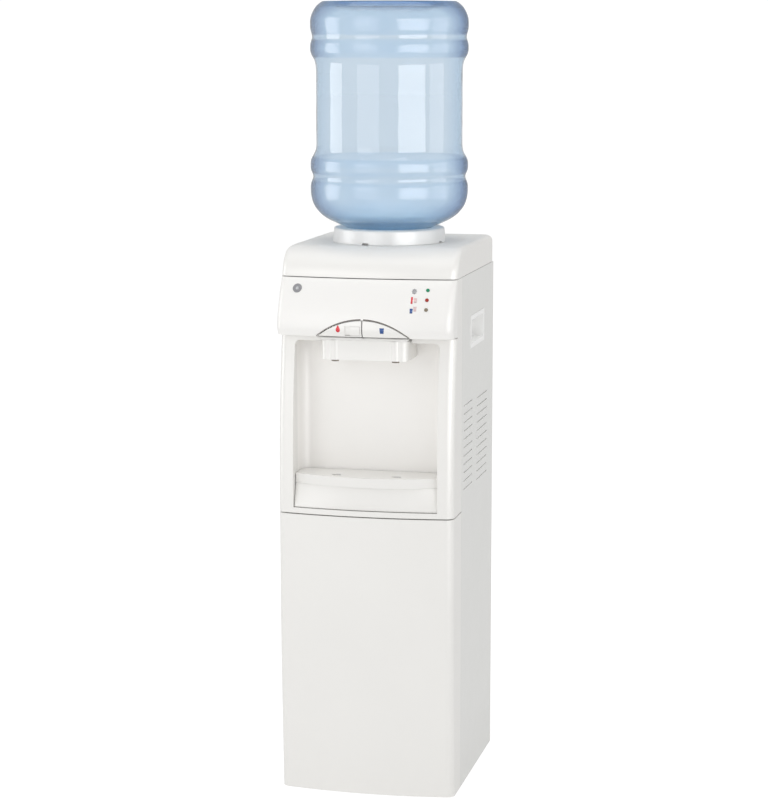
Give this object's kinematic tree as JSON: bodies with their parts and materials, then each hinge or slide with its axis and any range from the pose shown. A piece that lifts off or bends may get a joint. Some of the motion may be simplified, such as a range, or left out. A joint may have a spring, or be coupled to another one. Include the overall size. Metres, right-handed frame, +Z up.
{
  "type": "bottled water cooler",
  "caption": "Free-standing top-loading bottled-water cooler with hot and cold press keys, dispensing recess, pull-out drip tray and inverted blue bottle.",
  "frame": {"origin": "centre of the footprint, on the floor", "axes": "+Z up, front (faucets and drip tray) towards -Y, +X to the viewer's right when facing the front"},
  "size_m": [0.3058, 0.425, 1.352],
  "materials": {
    "white_plastic": "semi-gloss warm white ABS",
    "header_white": "gloss white ABS",
    "liner_white": "satin white",
    "white_steel": "powder-coated white steel",
    "zinc_steel": "galvanised steel",
    "stainless": "brushed",
    "black_enamel": "black enamel",
    "copper": "drawn copper",
    "rubber": "matt",
    "silicone": "milky silicone",
    "foam": "expanded polystyrene",
    "bottle_blue": "clear blue polycarbonate",
    "cap_blue": "polyethylene",
    "nylon": "natural nylon",
    "badge_grey": "grey badge",
    "lamp_green": "lens",
    "lamp_red": "lens",
    "lamp_amber": "lens",
    "board_green": "circuit board",
    "spring_steel": "wire",
    "black_plastic": "moulded",
    "switch_red": "rocker",
    "switch_green": "rocker",
    "drier_copper": "spun copper"
  },
  "bodies": {
    "cabinet": {"base_plate": "zinc_steel", "feet": "rubber", "side_panel_left": "white_steel", "side_panel_right": "white_steel", "side_grip_left": "white_plastic", "side_grip_right": "white_plastic", "rear_panel": "zinc_steel", "panel_screws": "spring_steel", "lower_front_panel": "white_plastic", "front_frame": "white_plastic", "recess_liner": "liner_white", "led_green": "lamp_green", "led_red": "lamp_red", "led_amber": "lamp_amber", "badge": "badge_grey", "indicator_board": "board_green", "header_panel": "header_white", "key_pivot_pin": "stainless", "faucet_housing": "white_plastic", "hot_faucet_body": "nylon", "hot_valve_spring": "spring_steel", "cold_faucet_body": "nylon", "cold_valve_spring": "spring_steel", "top_cover": "white_plastic", "water_receiver": "nylon", "feed_probe": "nylon", "cold_tank": "stainless", "tank_insulation": "foam", "evaporator_coil": "copper", "tank_frame": "zinc_steel", "hot_tank": "stainless", "heater_band": "spring_steel", "hot_tank_jacket": "foam", "cold_hose": "silicone", "hot_hose": "silicone", "feed_hose": "silicone", "drain_hose": "silicone", "drain_fitting": "nylon", "compressor": "black_enamel", "compressor_mounts": "rubber", "condenser": "black_enamel", "condenser_brackets": "nylon", "refrigerant_lines": "copper", "filter_drier": "drier_copper", "electrical_box": "zinc_steel", "switch_plate": "black_plastic", "power_inlet": "black_plastic"},
    "hot_key": {"hot_key": "white_plastic"},
    "cold_key": {"cold_key": "white_plastic"},
    "child_lock": {"child_lock": "white_plastic"},
    "hot_stem": {"hot_valve_stem": "nylon"},
    "cold_stem": {"cold_valve_stem": "nylon"},
    "tray": {"drip_tray": "white_plastic"},
    "tray_cover": {"drip_cover": "white_plastic"},
    "collar": {"bottle_collar": "white_plastic"},
    "bottle": {"bottle": "bottle_blue", "bottle_cap": "cap_blue"},
    "drain_cap": {"drain_cap": "black_plastic"},
    "cold_switch": {"cold_switch": "switch_green"},
    "hot_switch": {"hot_switch": "switch_red"}
  },
  "joints": [
    {"name": "bottle_lift", "type": "slide", "parent": "cabinet", "child": "bottle", "axis": [0, 0, 1], "range_m": [0, 0.15]},
    {"name": "collar_twist", "type": "hinge", "parent": "cabinet", "child": "collar", "pos_m": [0, -0.006, 0.9413], "axis": [0, 0, 1], "range_deg": [0, 25]},
    {"name": "hot_key_press", "type": "hinge", "parent": "cabinet", "child": "hot_key", "pos_m": [0, -0.158, 0.808], "axis": [1, 0, 0], "range_deg": [0, 6], "stiffness_Nm_per_rad": 1.5, "springref_deg": -5.73},
    {"name": "hot_stem_slide", "type": "slide", "parent": "cabinet", "child": "hot_stem", "axis": [0, 0, -1], "range_m": [0, 0.003], "deforming": ["hot_valve_spring"]},
    {"name": "cold_key_press", "type": "hinge", "parent": "cabinet", "child": "cold_key", "pos_m": [0, -0.158, 0.808], "axis": [1, 0, 0], "range_deg": [0, 6], "stiffness_Nm_per_rad": 1.5, "springref_deg": -5.73},
    {"name": "cold_stem_slide", "type": "slide", "parent": "cabinet", "child": "cold_stem", "axis": [0, 0, -1], "range_m": [0, 0.003], "deforming": ["cold_valve_spring"]},
    {"name": "child_lock_slide", "type": "slide", "parent": "hot_key", "child": "child_lock", "axis": [-1, 0, 0], "range_m": [0, 0.008]},
    {"name": "tray_pull", "type": "slide", "parent": "cabinet", "child": "tray", "axis": [0, -1, 0], "range_m": [0, 0.11]},
    {"name": "tray_cover_lift", "type": "slide", "parent": "tray", "child": "tray_cover", "axis": [0, 0, 1], "range_m": [0, 0.03]},
    {"name": "drain_cap_turn", "type": "hinge", "parent": "cabinet", "child": "drain_cap", "pos_m": [-0.07, 0.178, 0.24], "axis": [0, 1, 0], "range_deg": [0, 720]},
    {"name": "cold_switch_rock", "type": "hinge", "parent": "cabinet", "child": "cold_switch", "pos_m": [-0.118, 0.16125, 0.16], "axis": [1, 0, 0], "range_deg": [0, 24]},
    {"name": "hot_switch_rock", "type": "hinge", "parent": "cabinet", "child": "hot_switch", "pos_m": [-0.086, 0.16125, 0.16], "axis": [1, 0, 0], "range_deg": [0, 24]}
  ],
  "couplings": [
    {"joint": "hot_stem_slide", "follows": "hot_key_press", "m_per_rad": 0.028},
    {"joint": "cold_stem_slide", "follows": "cold_key_press", "m_per_rad": 0.028}
  ]
}
